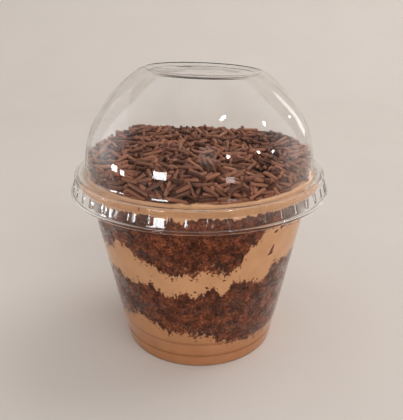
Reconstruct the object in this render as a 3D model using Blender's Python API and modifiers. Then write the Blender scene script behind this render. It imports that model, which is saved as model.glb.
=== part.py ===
"""A chocolate cake cup: a clear plastic cup with a snap-on dome lid, filled with chocolate cake
and mocha cream in layers, under a heap of chocolate sprinkles.

Metres, +Z up. The origin is the middle of the cup's foot, and the front faces -Y. Angles round
the cup are in degrees from the front, positive to the right.
"""

import math
import random

import bmesh
import bpy
from mathutils import Matrix, Vector

MM = 0.001
TURNED_SIDES = 48  # of the cup and the lid, as many as the lid has lugs
LAYER_SIDES = 64
STEP = 360 / LAYER_SIDES
GAP = 0.3 * MM  # between two nodes that touch
SEED = 7

# Cup
FOOT_RADIUS = 31.5 * MM  # of the wall's straight line, carried down to the floor
WALL_SLOPE = 0.18  # how far the wall leans out for each metre up
WALL = 0.75 * MM
FLOOR = 0.9 * MM
HEEL = 0.4 * MM  # the blunted edge of the foot
STACK_STEP_Z, STACK_STEP_IN = 12.2 * MM, 0.2 * MM
STEP_RISE = 0.4 * MM
RIM_Z, RIM_CENTRE_R, RIM_ROLL = 71.1 * MM, 46.15 * MM, 1.3 * MM

# Lid
LID_WALL = 0.5 * MM
LID_TOP_Z, LID_TOP_RADIUS = 110 * MM, 22.8 * MM
TOP_SHIFT, TOP_TILT = 1.6 * MM, math.tan(math.radians(2.2))  # how the thin dome leans to the right
LID_EDGE = 0.9 * MM  # the step round the flat top
DOME_FOOT_Z = 74.7 * MM
DOME_RADIUS, DOME_START_Z = 44.1 * MM, 71.2 * MM  # where its curve is upright, hidden in the bead
DOME_POWER = 2.5  # how late the dome turns in, going up
DOME_POINTS = 6
BEAD_RADIUS, BEAD_Z = 48.3 * MM, 69.5 * MM
NOTCH_RADIUS, NOTCH_Z = 47.8 * MM, 68.6 * MM  # snaps in under the cup's rim
LEDGE_RADIUS, LEDGE_Z = 49.5 * MM, 67.4 * MM
SKIRT_RADIUS, SKIRT_Z, SKIRT_LIP = 50 * MM, 65.3 * MM, 1.3 * MM
LUG_WIDTH = 1.3 * MM  # of the small upright lugs, one on each side of the lid
LUG_FOOT, LUG_HEAD = 68 * MM, 70.3 * MM
LUG_INSIDE, LUG_OUTSIDE = 47.65 * MM, 48.85 * MM

# Layers: the height in mm of each boundary at the cup's wall, at a few angles round it
CREAM_BOTTOM_TOP = ((-60, 17), (-39, 21.6), (-30, 20), (-22, 17.4), (-2, 16.4), (5, 17))
CREAM_BOTTOM_TOP += ((14, 12.3), (42, 11), (63, 11), (110, 15), (160, 13), (215, 17), (260, 14))
CAKE_LOWER_TOP = ((-60, 39), (-41, 37), (-29, 38.8), (-16, 34), (-8, 37), (-4, 35.4))
CAKE_LOWER_TOP += ((8, 38.4), (12, 36.2), (19, 41), (38, 38.3), (45, 45), (58, 45.2))
CAKE_LOWER_TOP += ((85, 41), (130, 38), (175, 41), (230, 36))
CREAM_MIDDLE_TOP = ((-60, 48), (-44, 53), (-28, 49), (-14, 44.4), (-3, 44.6), (5, 47))
CREAM_MIDDLE_TOP += ((13, 44.4), (20, 48.5), (28, 55.5), (33, 60.2), (39, 61), (48, 60))
CREAM_MIDDLE_TOP += ((98, 55), (115, 52), (160, 48), (205, 51), (255, 47))
CAKE_UPPER_TOP = ((-60, 67.5), (-13, 68.6), (-7, 66.7), (3, 68.4), (17, 67.8), (120, 68.3))
CREAM_TOP_Z = 72 * MM
CRUMB = 0.5 * MM  # how far the cake's edges wander from their even line
CRAG = 0.8 * MM  # how deep the cake's side is pitted
CRAG_ROWS = (0.3, 0.7)  # of the cake's height
HALF_RISE = 0.35  # how much of a boundary's waves is left halfway in

# Heap of sprinkles: a flat-topped mound
HEAP_FOOT_RADIUS, HEAP_FOOT_Z = 42.8 * MM, 72.6 * MM
HEAP_RADIUS, HEAP_WIDEST_Z = 42.8 * MM, 77 * MM
HEAP_CROWN_Z = 81.4 * MM
HEAP_POWER = 5  # how square the mound's shoulder is
HEAP_SADDLE = 1.4 * MM  # how far its left and right rise above that, and its front and back dip
HEAP_RINGS, HEAP_SIDES = 7, 32
HEAP_LUMP = 0.45 * MM
CORE_INSET = 1 * MM  # how far the core lies below that outline
SPRINKLES = 176
SPRINKLE_RADIUS = 0.7 * MM
SPRINKLE_LENGTHS = (6 * MM, 9 * MM)
SPRINKLE_SIDES = 4
SPRINKLE_LIFT = 14  # degrees that a sprinkle may point out of the heap
GOLDEN_ANGLE = 180 * (3 - math.sqrt(5))


def material(name, colour, roughness, alpha=1.0):
    made = bpy.data.materials.new(name)
    made.use_nodes = True
    shader = made.node_tree.nodes["Principled BSDF"]
    shader.inputs["Base Color"].default_value = (*colour, 1)
    shader.inputs["Roughness"].default_value = roughness
    shader.inputs["Metallic"].default_value = 0
    shader.inputs["Alpha"].default_value = alpha
    made.diffuse_color = (*colour, alpha)
    return made


def new_collection(name):
    made = bpy.data.collections.new(name)
    bpy.context.scene.collection.children.link(made)
    return made


def add(name, mesh, collection, surface):
    made = bpy.data.objects.new(name, mesh)
    mesh.materials.append(surface)
    collection.objects.link(made)
    return made


def around(angle, radius, z):
    """The point at this angle from the front, this far from the axis, at this height."""
    turn = math.radians(angle)
    return Vector((radius * math.sin(turn), -radius * math.cos(turn), z))


def fuse(made, cutters):
    """Joins all of the cutters' collection on, drops what that seals in, and removes the cutters."""
    modifier = made.modifiers.new("Boolean", "BOOLEAN")
    modifier.operation = "UNION"
    modifier.operand_type = "COLLECTION"
    modifier.collection = cutters
    modifier.solver = "MANIFOLD"
    graph = bpy.context.evaluated_depsgraph_get()
    mesh = bpy.data.meshes.new_from_object(made.evaluated_get(graph))
    made.modifiers.clear()
    made.data = mesh
    for used in list(cutters.objects):
        bpy.data.objects.remove(used)

    shape = bmesh.new()
    shape.from_mesh(mesh)
    left, shells = set(shape.verts), []
    while left:
        shell, waiting = set(), [next(iter(left))]
        while waiting:
            point = waiting.pop()
            if point not in shell:
                shell.add(point)
                waiting += [line.other_vert(point) for line in point.link_edges]
        left -= shell
        shells.append(shell)
    shells.sort(key=len)
    for shell in shells[:-1]:
        bmesh.ops.delete(shape, geom=list(shell), context="VERTS")
    shape.to_mesh(mesh)
    shape.free()


def turned(name, profile, collection, surface):
    """A solid of revolution from (radius, z) points that run down its outer side."""
    mesh = bpy.data.meshes.new(name)
    lines = [(index, index + 1) for index in range(len(profile) - 1)]
    mesh.from_pydata([(radius, 0, z) for radius, z in profile], lines, [])
    made = add(name, mesh, collection, surface)
    screw = made.modifiers.new("Turn", "SCREW")
    screw.steps = screw.render_steps = TURNED_SIDES
    screw.use_merge_vertices = True
    screw.merge_threshold = 0.00001
    screw.use_smooth_shade = True
    return made


def wall_outside(z):
    return FOOT_RADIUS + WALL_SLOPE * z


def wall_inside(z):
    return wall_outside(z) - WALL


def cup_profile():
    """Up the inside, over the rim, down the outside and across the foot."""
    roll_foot = RIM_Z - RIM_ROLL
    profile = [(0, FLOOR), (wall_inside(FLOOR) - HEEL, FLOOR)]
    profile += [(wall_inside(z), z) for z in (FLOOR + HEEL, roll_foot)]
    for degrees in (150, 100, 50, 0, -50, -100):
        turn = math.radians(degrees)
        profile.append((RIM_CENTRE_R + RIM_ROLL * math.cos(turn), RIM_Z + RIM_ROLL * math.sin(turn)))
    profile.append((wall_outside(roll_foot - STEP_RISE), roll_foot - STEP_RISE))
    profile.append((wall_outside(STACK_STEP_Z), STACK_STEP_Z))
    profile.append((wall_outside(STACK_STEP_Z) - STACK_STEP_IN, STACK_STEP_Z - STEP_RISE))
    profile.append((wall_outside(HEEL) - STACK_STEP_IN, HEEL))
    return profile + [(FOOT_RADIUS - HEEL, 0), (0, 0)]


def dome_radius(z):
    up = max(z - DOME_START_Z, 0) / (LID_TOP_Z - DOME_START_Z)
    return DOME_RADIUS - (DOME_RADIUS - LID_TOP_RADIUS) * up**DOME_POWER


def lid_profile():
    """Across the top, down the outside to the skirt's edge, and back up the inside."""
    top = LID_TOP_Z - LID_EDGE
    edge = LID_TOP_RADIUS - LID_EDGE
    drop = top - DOME_FOOT_Z
    levels = [top - drop * (i / (DOME_POINTS - 1)) ** 1.25 for i in range(DOME_POINTS)]
    over_rim = RIM_Z + RIM_ROLL + GAP
    round_rim = RIM_CENTRE_R + RIM_ROLL + GAP
    profile = [(0, top), (edge - 2 * LID_EDGE, top), (edge - LID_EDGE, LID_TOP_Z), (edge, LID_TOP_Z)]
    profile += [(dome_radius(z), z) for z in levels]
    profile += [(RIM_CENTRE_R, over_rim + LID_WALL), (round_rim + LID_WALL / 2, RIM_Z + 2 * LID_WALL)]
    profile += [(BEAD_RADIUS, BEAD_Z), (NOTCH_RADIUS, NOTCH_Z), (LEDGE_RADIUS, LEDGE_Z)]
    profile += [(SKIRT_RADIUS, SKIRT_Z + SKIRT_LIP), (SKIRT_RADIUS, SKIRT_Z)]
    profile += [(SKIRT_RADIUS - LID_WALL, SKIRT_Z), (SKIRT_RADIUS - LID_WALL, SKIRT_Z + SKIRT_LIP / 2)]
    profile += [(NOTCH_RADIUS - LID_WALL, NOTCH_Z - LID_WALL), (NOTCH_RADIUS - LID_WALL, BEAD_Z)]
    profile += [(round_rim, RIM_Z), (round_rim - LID_WALL, RIM_Z + RIM_ROLL), (RIM_CENTRE_R, over_rim)]
    profile += [(dome_radius(z) - LID_WALL, z) for z in levels[:0:-1]]
    return profile + [(edge - LID_WALL, top - LID_WALL), (0, top - LID_WALL)]


def build_lid(collection, cutters, surface):
    made = turned("lid", lid_profile(), collection, surface)
    size = Matrix.Diagonal((LUG_WIDTH, LUG_OUTSIDE - LUG_INSIDE, LUG_HEAD - LUG_FOOT, 1))
    for index in range(TURNED_SIDES):
        angle = 360 * (index + 0.5) / TURNED_SIDES
        middle = around(angle, (LUG_OUTSIDE + LUG_INSIDE) / 2, (LUG_HEAD + LUG_FOOT) / 2)
        shape = bmesh.new()
        bmesh.ops.create_cube(shape, size=1)
        shape.transform(Matrix.Translation(middle) @ Matrix.Rotation(math.radians(angle), 4, "Z") @ size)
        mesh = bpy.data.meshes.new("lug")
        shape.to_mesh(mesh)
        shape.free()
        add("lug", mesh, cutters, surface)
    fuse(made, cutters)
    for point in made.data.vertices:
        share = max(point.co.z - DOME_FOOT_Z, 0) / (LID_TOP_Z - DOME_FOOT_Z)
        x = point.co.x
        point.co.x += TOP_SHIFT * share**2
        point.co.z -= TOP_TILT * x * share**2
    made.data.shade_smooth()
    made.data.set_sharp_from_angle(angle=math.radians(35))


def level(keys, angle):
    """The height at this angle, on a smooth closed line through the keys."""
    first = keys[0][0]
    angle = first + (angle - first) % 360
    for (before, low), (after, high) in zip(keys, (*keys[1:], (first + 360, keys[0][1]))):
        if angle <= after:
            share = (1 - math.cos(math.pi * (angle - before) / (after - before))) / 2
            return MM * (low + (high - low) * share)


class Boundary:
    """A wavy surface through the cup between two layers, as its height on the axis, in a ring
    halfway in and at the rim. A cake's rim wanders by up to crumb from its keys."""

    def __init__(self, keys, centre, crumb=0.0):
        draw = random.Random(SEED + len(keys))
        self.centre = centre
        self.rim = [level(keys, STEP * i) + crumb * draw.uniform(-1, 1) for i in range(LAYER_SIDES)]
        mean = sum(self.rim) / LAYER_SIDES
        self.half = [centre + HALF_RISE * (z - mean) for z in self.rim[::2]]

    def moved(self, up):
        made = object.__new__(Boundary)
        made.centre = self.centre + up
        made.rim = [z + up for z in self.rim]
        made.half = [z + up for z in self.half]
        return made

    def half_ring(self):
        return [around(2 * STEP * i, wall_inside(z) / 2, z) for i, z in enumerate(self.half)]

    def rim_ring(self, inwards=0.0):
        return [around(STEP * i, wall_inside(z) - GAP - inwards, z) for i, z in enumerate(self.rim)]


def stitched(rings):
    """A closed mesh through rings of points, from the middle of the underside out, up the side
    and in to the middle of the top. A ring may have half the points of the next, or one."""
    mesh = bpy.data.meshes.new("rings")
    corners = [point for ring in rings for point in ring]
    starts = [sum(map(len, rings[:index])) for index in range(len(rings))]
    faces = []
    for lower, upper, low, high in zip(rings, rings[1:], starts, starts[1:]):
        many, few = max(len(lower), len(upper)), min(len(lower), len(upper))
        if many == few:
            for i in range(many):
                j = (i + 1) % many
                faces += [(low + i, low + j, high + j), (low + i, high + j, high + i)]
            continue
        turn, wide, narrow = (1, low, high) if len(lower) == many else (-1, high, low)
        for i in range(many):
            j = (i + 1) % many
            near, beyond = ((2 * k * few + many) // (2 * many) % few for k in (i, i + 1))
            faces.append((wide + i, wide + j, narrow + near)[::turn])
            if near != beyond:
                faces.append((narrow + near, wide + j, narrow + beyond)[::turn])
    mesh.from_pydata(corners, [], faces)
    return mesh


def layer_mesh(low, high, crag=0.0, heel=0.0):
    """The solid between two boundaries. crag pits its side, and heel draws in its foot."""
    draw = random.Random(SEED)
    foot, head = low.rim_ring(), high.rim_ring()
    rings = [[(0, 0, low.centre)], low.half_ring(), low.rim_ring(inwards=heel)]
    if heel:
        rings.append(low.moved(heel).rim_ring())
    for share in CRAG_ROWS if crag else ():
        row = [a.lerp(b, share) for a, b in zip(foot, head)]
        for point in row:
            point.xy *= 1 - draw.random() * crag / point.xy.length
        rings.append(row)
    return stitched([*rings, head, high.half_ring(), [(0, 0, high.centre)]])


def build_layers(collection, cream, cake):
    floor = Boundary(((0, (FLOOR + GAP) / MM),), FLOOR + GAP)
    cream_bottom_top = Boundary(CREAM_BOTTOM_TOP, 15 * MM, CRUMB)
    cake_lower_top = Boundary(CAKE_LOWER_TOP, 39 * MM, CRUMB)
    cream_middle_top = Boundary(CREAM_MIDDLE_TOP, 50 * MM, CRUMB)
    cake_upper_top = Boundary(CAKE_UPPER_TOP, 68 * MM, CRUMB)
    surface = Boundary(((0, CREAM_TOP_Z / MM),), CREAM_TOP_Z)
    under, over = -GAP / 2, GAP / 2

    add("cream_bottom", layer_mesh(floor, cream_bottom_top.moved(under), heel=HEEL), collection, cream)
    lower = layer_mesh(cream_bottom_top.moved(over), cake_lower_top.moved(under), crag=CRAG)
    add("cake_lower", lower, collection, cake)
    middle = layer_mesh(cake_lower_top.moved(over), cream_middle_top.moved(under))
    add("cream_middle", middle, collection, cream)
    upper = layer_mesh(cream_middle_top.moved(over), cake_upper_top.moved(under), crag=CRAG)
    add("cake_upper", upper, collection, cake)
    add("cream_top", layer_mesh(cake_upper_top.moved(over), surface), collection, cream)


def heap_outline():
    """The heap's outline from its foot to its crown, as (radius, z) points."""
    points = [Vector((HEAP_FOOT_RADIUS, HEAP_FOOT_Z))]
    for index in range(HEAP_RINGS):
        turn = math.radians(90 * index / HEAP_RINGS)
        radius = HEAP_RADIUS * math.cos(turn) ** (2 / HEAP_POWER)
        rise = (HEAP_CROWN_Z - HEAP_WIDEST_Z) * math.sin(turn) ** (2 / HEAP_POWER)
        points.append(Vector((radius, HEAP_WIDEST_Z + rise)))
    return [*points, Vector((0, HEAP_CROWN_Z))]


def saddle(point):
    """How far the heap's top rises at this point above its even outline."""
    share = max(point.z - HEAP_WIDEST_Z, 0) / (HEAP_CROWN_Z - HEAP_WIDEST_Z)
    return HEAP_SADDLE * share * (point.x**2 - point.y**2) / HEAP_RADIUS**2


def heap_rings():
    """The heap's core: rings up its outline, set in from it and lumpy."""
    draw = random.Random(SEED)
    rings = [[(0, 0, HEAP_FOOT_Z)]]
    for radius, z in heap_outline()[:-1]:
        ring = []
        for i in range(HEAP_SIDES):
            lump = HEAP_LUMP * draw.uniform(-1, 1)
            drop = CORE_INSET * (1 - radius / HEAP_RADIUS) + lump / 2 if z > HEAP_FOOT_Z else 0
            point = around(360 * i / HEAP_SIDES, radius - CORE_INSET + lump, z - drop)
            point.z += saddle(point)
            ring.append(point)
        rings.append(ring)
    return [*rings, [(0, 0, HEAP_CROWN_Z - CORE_INSET)]]


def outline_point(share):
    """A point of the heap's outline, as (radius, z), and the direction of the outline there,
    at this share of the heap's outer area from its foot."""
    points = heap_outline()
    bands = [(b - a).length * (a.x + b.x) for a, b in zip(points, points[1:])]
    left = share * sum(bands)
    for a, b, area in zip(points, points[1:], bands):
        if left <= area:
            return a.lerp(b, left / area), (b - a).normalized()
        left -= area


def sprinkle(index, draw):
    """The two ends of a sprinkle that lies on the heap, kept clear of the lid and the cream."""
    place, up = outline_point((index + draw.random()) / SPRINKLES)
    angle = index * GOLDEN_ANGLE
    side = around(angle + 90, 1, 0)
    ahead = around(angle, up.x, up.y)
    out = side.cross(ahead)
    heading = math.radians(draw.uniform(0, 360))
    lift = math.radians(draw.uniform(0, SPRINKLE_LIFT))
    along = math.cos(lift) * (math.cos(heading) * side + math.sin(heading) * ahead) + math.sin(lift) * out
    half = along * draw.uniform(*SPRINKLE_LENGTHS) / 2
    middle = around(angle, *place) - out * SPRINKLE_RADIUS
    middle.z += saddle(middle)
    lowest = CREAM_TOP_Z + GAP + SPRINKLE_RADIUS
    for _ in range(4):
        for end in (middle + half, middle - half):
            middle.z += max(lowest - end.z, 0)
            beyond = end.xy.length - (dome_radius(end.z) - LID_WALL - GAP - SPRINKLE_RADIUS)
            middle.xy -= max(beyond, 0) * end.xy.normalized()
    return middle - half, middle + half


def build_sprinkles(collection, cutters, surface):
    made = add("sprinkles", stitched(heap_rings()), collection, surface)
    draw = random.Random(SEED)
    for index in range(SPRINKLES):
        start, end = sprinkle(index, draw)
        shape = bmesh.new()
        bmesh.ops.create_cone(
            shape,
            cap_ends=True,
            segments=SPRINKLE_SIDES,
            radius1=SPRINKLE_RADIUS,
            radius2=SPRINKLE_RADIUS,
            depth=(end - start).length,
        )
        turn = (end - start).to_track_quat("Z", "Y").to_matrix().to_4x4()
        shape.transform(Matrix.Translation((start + end) / 2) @ turn)
        mesh = bpy.data.meshes.new("sprinkle")
        shape.to_mesh(mesh)
        shape.free()
        add("sprinkle", mesh, cutters, surface)
    fuse(made, cutters)


def main():
    for old in list(bpy.data.objects):
        bpy.data.objects.remove(old)
    collection = new_collection("chocolate_cake_cup")
    cutters = new_collection("cutters")
    clear = material("clear plastic", (0.9, 0.9, 0.9), 0.05, alpha=0.3)
    cream = material("mocha cream", (0.45, 0.27, 0.15), 0.45)
    cake = material("chocolate cake", (0.09, 0.035, 0.02), 0.9)
    chocolate = material("milk chocolate", (0.16, 0.07, 0.04), 0.4)
    turned("cup", cup_profile(), collection, clear)
    build_lid(collection, cutters, clear)
    build_layers(collection, cream, cake)
    build_sprinkles(collection, cutters, chocolate)


main()
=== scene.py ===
"""The looks of the chocolate cake cup: the thin clear cup and dome lid, the layers of cake and
mocha cream pressed against the wall, and the heap of chocolate sprinkles.

Metres, +Z up, the front faces -Y. Angles round the cup are in degrees from the front, positive to
the right. Profiles are lists of (radius, z).
"""

import math

import bmesh
import bpy
import numpy as np
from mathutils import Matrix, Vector, noise


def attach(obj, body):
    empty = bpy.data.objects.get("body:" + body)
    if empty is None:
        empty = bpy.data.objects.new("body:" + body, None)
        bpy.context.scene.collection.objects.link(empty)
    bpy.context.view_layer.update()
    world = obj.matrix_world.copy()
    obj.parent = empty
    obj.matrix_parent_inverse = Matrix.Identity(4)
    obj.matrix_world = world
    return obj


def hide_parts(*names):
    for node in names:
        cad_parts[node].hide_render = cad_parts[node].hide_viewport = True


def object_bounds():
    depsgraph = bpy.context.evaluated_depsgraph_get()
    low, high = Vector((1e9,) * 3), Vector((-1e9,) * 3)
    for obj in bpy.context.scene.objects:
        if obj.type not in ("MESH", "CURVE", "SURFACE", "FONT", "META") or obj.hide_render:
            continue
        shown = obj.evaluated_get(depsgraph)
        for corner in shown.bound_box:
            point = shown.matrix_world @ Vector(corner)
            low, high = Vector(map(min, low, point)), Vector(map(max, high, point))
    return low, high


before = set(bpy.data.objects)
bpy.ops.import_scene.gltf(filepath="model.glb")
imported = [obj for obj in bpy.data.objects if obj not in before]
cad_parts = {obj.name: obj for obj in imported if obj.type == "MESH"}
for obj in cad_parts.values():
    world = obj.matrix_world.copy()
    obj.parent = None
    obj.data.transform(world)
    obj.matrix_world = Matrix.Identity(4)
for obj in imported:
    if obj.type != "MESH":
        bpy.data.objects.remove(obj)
cad_low, cad_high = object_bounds()

MM = 0.001
SEED = 7
GOLDEN_ANGLE = 180 * (3 - math.sqrt(5))

# Camera
CAMERA_PLACE = (0.87 * MM, -187.33 * MM, 130.27 * MM)
CAMERA_PITCH = 67.76  # degrees up from looking straight down
CAMERA_LENS = 42.22  # for the usual 36 mm sensor

# Cup
FOOT_RADIUS = 31.5 * MM  # of the wall's straight line, carried down to the floor
WALL_SLOPE = 0.18
WALL, FOOT_WALL = 0.75 * MM, 0.28 * MM  # thinner below the step, so that the cream shows there
FLOOR = 0.35 * MM
GROOVE_Z, GROOVE_DEPTH, GROOVE_WIDTH = 5.6 * MM, 0.2 * MM, 0.22 * MM
HEEL = 0.3 * MM
PUNT = 0.1 * MM  # how far the foot's underside is raised inside its ring
FOOT_RING = 2.5 * MM
STACK_STEP_Z, STACK_STEP_IN = 12.2 * MM, 0.2 * MM
STEP_RISE = 0.35 * MM
RIM_Z, RIM_CENTRE_R, RIM_ROLL = 71.1 * MM, 46.15 * MM, 1.3 * MM
COLLAR = 0.5 * MM  # how far the wall turns out below its rim
CUP_COLUMNS = 240

# Lid
LID_WALL = 0.5 * MM
SKIRT_RADIUS = cad_high[0]
LID_TOP_Z, LID_TOP_RADIUS = 110 * MM, 22.8 * MM
TOP_SHIFT, TOP_TILT = 1.6 * MM, math.tan(math.radians(2.2))  # how the thin dome leans to the right
LID_EDGE = 0.9 * MM
DOME_RADIUS, DOME_START_Z, DOME_FOOT_Z = 44.1 * MM, 71.2 * MM, 74.7 * MM
DOME_POWER = 2.5
DOME_POINTS, DOME_SPREAD = 36, 1.25  # above 1 the points lie closer together at the top
LID_GAP = 0.3 * MM  # between the lid and the cup's rim
BEAD_RADIUS, BEAD_Z = 48.25 * MM, 70.4 * MM  # below it the skirt flares out
LEDGE_RADIUS, LEDGE_Z = 49.04 * MM, 67.3 * MM
SKIRT_Z = 65.3 * MM
LIP_ROLL = 0.6 * MM  # the skirt ends in a lip of this radius
LUGS = 48
LUG_WIDTH = 1.3 * MM
LUG_DEPTH = 0.2 * MM
LUG_FOOT, LUG_HEAD = 67.2 * MM, 70.7 * MM
LUG_ROUNDING = 0.5 * MM
LUG_SHAPE = ((-1, 0), (-0.85, 0.3), (-0.7, 0.9), (-0.45, 1), (0, 1))  # across it, and how deep
LUG_SHAPE += ((0.45, 1), (0.7, 0.9), (0.85, 0.3), (1, 0))
LUG_COLUMNS = 12  # with those between it and the next

# Layers: the height in mm of each boundary at the cup's wall, at a few angles round it
CREAM_BOTTOM_TOP = ((-60, 17), (-39, 21.6), (-30, 20), (-22, 17.4), (-2, 16.4), (5, 17))
CREAM_BOTTOM_TOP += ((14, 12.3), (42, 11), (63, 11), (110, 15), (160, 13), (215, 17), (260, 14))
CAKE_LOWER_TOP = ((-60, 39), (-41, 37), (-29, 38.8), (-16, 34), (-8, 37), (-4, 35.4))
CAKE_LOWER_TOP += ((8, 38.4), (12, 36.2), (19, 41), (38, 38.3), (45, 45), (58, 45.2))
CAKE_LOWER_TOP += ((85, 41), (130, 38), (175, 41), (230, 36))
CREAM_MIDDLE_TOP = ((-60, 48), (-44, 53), (-28, 49), (-14, 44.4), (-3, 44.6), (5, 47))
CREAM_MIDDLE_TOP += ((13, 44.4), (20, 48.5), (28, 55.5), (33, 60.2), (39, 61), (48, 60))
CREAM_MIDDLE_TOP += ((98, 55), (115, 52), (160, 48), (205, 51), (255, 47))
CAKE_UPPER_TOP = ((-60, 67.5), (-13, 68.6), (-7, 66.7), (3, 68.4), (17, 67.8), (120, 68.3))
CREAM_TOP_Z = 72 * MM
CREAM_TOP = ((-60, 71.8), (-20, 72.1), (-13, 71.8), (-8, 73.1), (-5, 72.1), (-2, 73.2), (3, 72.9))
CREAM_TOP += ((8, 71.9), (40, 72.2), (120, 71.8), (200, 72.3))
HALF_RISE = 0.35  # how much of a boundary's waves is left halfway in
RAGGED = ((4 * MM, 1.3 * MM), (1.6 * MM, 1.8 * MM), (0.7 * MM, 1.5 * MM))  # lump size, height
INTO_WALL = 0.12 * MM  # how far the filling reaches into the plastic, so that no air shows
LAYER_COLUMNS = 960
CAKE_ROWS, CREAM_ROWS = 76, 24
PIT_DEPTH = 1.7 * MM
PIT_LUMPS = ((4.5 * MM, 0.6), (1.5 * MM, 0.9), (0.7 * MM, 0.45))  # size and share of the depth
PRESSED_FLAT = 0.06  # the share of the depth that the wall presses flat
EDGE_ROWS, EDGE_PITS = 1 / 14, 0.35  # how far the layer's edges reach, and how deep they are pitted
SMEAR_HEIGHT, SMEAR_ANGLE, SMEAR_WIDTH = 7 * MM, 2, 14  # above the cake's foot; the angles in degrees
SMEAR_SPECKS = ((1.1 * MM, 1, 31), (0.5 * MM, 0.6, 32))  # size, strength and seed
CREAM_OVERLAP = 0.15 * MM
CREAM_SPAN = 80 * MM  # the height over which the cream's colour changes
CREAM_SHADE_LINE = 0.45 * MM  # half the width of the lines of painted shade at the foot's groove and step

# Crumbs of cake in the cream, near the cake's edges
CRUMBS = 480  # along each edge
CRUMB_RADII = (0.15 * MM, 0.6 * MM)
CRUMB_SPREAD = 0.7 * MM
CRUMB_PROUD = 0.05 * MM  # how far a crumb reaches into the plastic past the cream
CRUMB_SUNK = 0.3  # how far its middle lies inside the cream, in radii
CRUMB_ROUGHNESS, CRUMB_STRETCH = (0.7, 1.3), (0.7, 1.5)
# A few by themselves: angle, and height and radius in mm
STRAY_CRUMBS = ((39, 50, 1.3), (39.8, 51.5, 1), (40.6, 53, 0.7), (40, 59, 1))

# Heap of sprinkles: a flat-topped mound
HEAP_FOOT_RADIUS, HEAP_FOOT_Z = 42.8 * MM, 72.3 * MM
HEAP_RADIUS, HEAP_WIDEST_Z = 42.8 * MM, 77 * MM
HEAP_CROWN_Z = 81.3 * MM
HEAP_POWER = 5  # above 2 it is flatter on top and steeper at its side
HEAP_SADDLE = 1.4 * MM  # how far its left and right rise above that, and its front and back dip
# x, y, size and height
HEAP_HUMPS = ((-24 * MM, 28 * MM, 13 * MM, 3.2 * MM), (32 * MM, 12 * MM, 10 * MM, 1.3 * MM))
SPRINKLES = 1280
SPRINKLE_RADIUS = 0.74 * MM
SPRINKLE_LENGTHS = (4.5 * MM, 8.6 * MM)
SHELL = 4.2 * MM  # the sprinkles lie in a shell of this thickness over the core
HEAP_LUMPS = ((11 * MM, 1.5 * MM), (4.5 * MM, 1.2 * MM))  # size and height
PACKING_STEPS = 220
RISER_Z = 79.5 * MM  # above this height a sprinkle here and there stands up out of the heap
RISER_SHARE = 0.16
SPRINKLE_SIDES = 7
SPRINKLE_CAP = ((0.0, 0.0), (0.12, 0.55), (0.42, 0.88), (0.95, 1.0))  # way in and radius, in radii
SPRINKLE_BEND = 0.35 * MM
SPRINKLE_LEAN = 0.85  # how much they point in and out of the heap's surface
SPRINKLE_LEVEL = 0.45  # how much those on the heap's steep side lie level
CORE_RISE = 0.5 * MM  # how far the core reaches up among the lowest sprinkles
CORE_LUMP_SIZE, CORE_LUMP_HEIGHT = 1.6 * MM, 0.5 * MM
CORE_COLUMNS = 180

# Lights. Directions are in degrees from the front, positive to the right, and degrees up.
LIGHTS_CENTRE_Z = 85 * MM
ROOM = 0.6
MIRRORED_DARK = 0.08  # the room as the plastic mirrors it
MIRRORED_ENDS = (("Y", -0.4, 0.35, 1.15), ("Z", 0.86, 1.0, 1.1))  # where it brightens, and how much
SOFT_LIGHTS = (  # seen by nothing glossy: name, angle, height, distance, size and radiance
    ("key", 120, 52, 2.0, (36, 36), 2.5),
    ("front_fill", 30, 32, 3.0, (50, 30), 1.85),
)
WINDOW_COLOUR = (0.93, 0.98, 1)
WINDOWS = (  # angle, height, width, how tall, radiance
    (-85, -1, 8, 4.5, 22),
    (-75, -2, 5, 4, 18),
    (-36, 3.5, 14, 8, 20),
    (28, -1, 8, 6, 4),
    (8, 27, 14, 18, 0.6),
    (-110, 12, 50, 45, 0.45),
    (133, 14, 7, 26, 1.3),
)
DOWNLIGHTS = (  # angle, height, width, how tall
    (45, 62, 6.5, 3.3),
    (88, 39, 3.5, 3.3),
    (124, 19, 1.5, 2),
    (28, 24, 4, 4),
    (60, 21, 4, 3.5),
    (76, 15, 4, 3),
)
DOWNLIGHT = 30  # radiance
WINDOW_DISTANCE, DOWNLIGHT_DISTANCE = 0.8, 0.9

# Stage
FLOOR_FRONT, SWEEP_START, SWEEP_RADIUS = -1.6, 0.45, 0.45
SWEEP_HEIGHT, SWEEP_WIDTH = 1.6, 3.6


# Meshes


def smooth(share):
    """A soft step from 0 to 1."""
    share = np.clip(share, 0, 1)
    return share * share * (3 - 2 * share)


def unit(vectors):
    return vectors / np.linalg.norm(vectors, axis=1)[:, None]


def around(angles, radii, heights):
    """Points at these angles in degrees from the front, distances from the axis and heights."""
    turns = np.radians(angles)
    across, ahead = radii * np.sin(turns), -radii * np.cos(turns)
    return np.stack(np.broadcast_arrays(across, ahead, heights), axis=-1)


def add_mesh(name, points, faces, surface, slot=None, replaces=()):
    mesh = bpy.data.meshes.new(name)
    mesh.from_pydata(points.tolist(), [], faces)
    mesh.shade_smooth()
    mesh.materials.append(surface)
    made = bpy.data.objects.new(name, mesh)
    bpy.context.scene.collection.objects.link(made)
    if slot:
        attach(made, "root")
    if replaces:
        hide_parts(*replaces)
    return made


def ring_faces(sizes):
    """The faces of a closed loft through rings of points, from the middle of the underside out,
    up the side and in to the middle of the top. A ring of one point closes an end."""
    starts = np.concatenate(([0], np.cumsum(sizes)))
    faces = []
    for lower, upper, low, high in zip(sizes, sizes[1:], starts, starts[1:]):
        here = np.arange(max(lower, upper))
        ahead = np.roll(here, -1)
        if lower == 1:
            corners = (low + 0 * here, high + ahead, high + here)
        elif upper == 1:
            corners = (low + here, low + ahead, high + 0 * here)
        else:
            corners = (low + here, low + ahead, high + ahead, high + here)
        faces += np.stack(corners, axis=1).tolist()
    return faces


def copied_faces(one, size, count):
    """The faces of many copies of a form with this many points."""
    return [[corner + size * index for corner in face] for index in range(count) for face in one]


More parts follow.
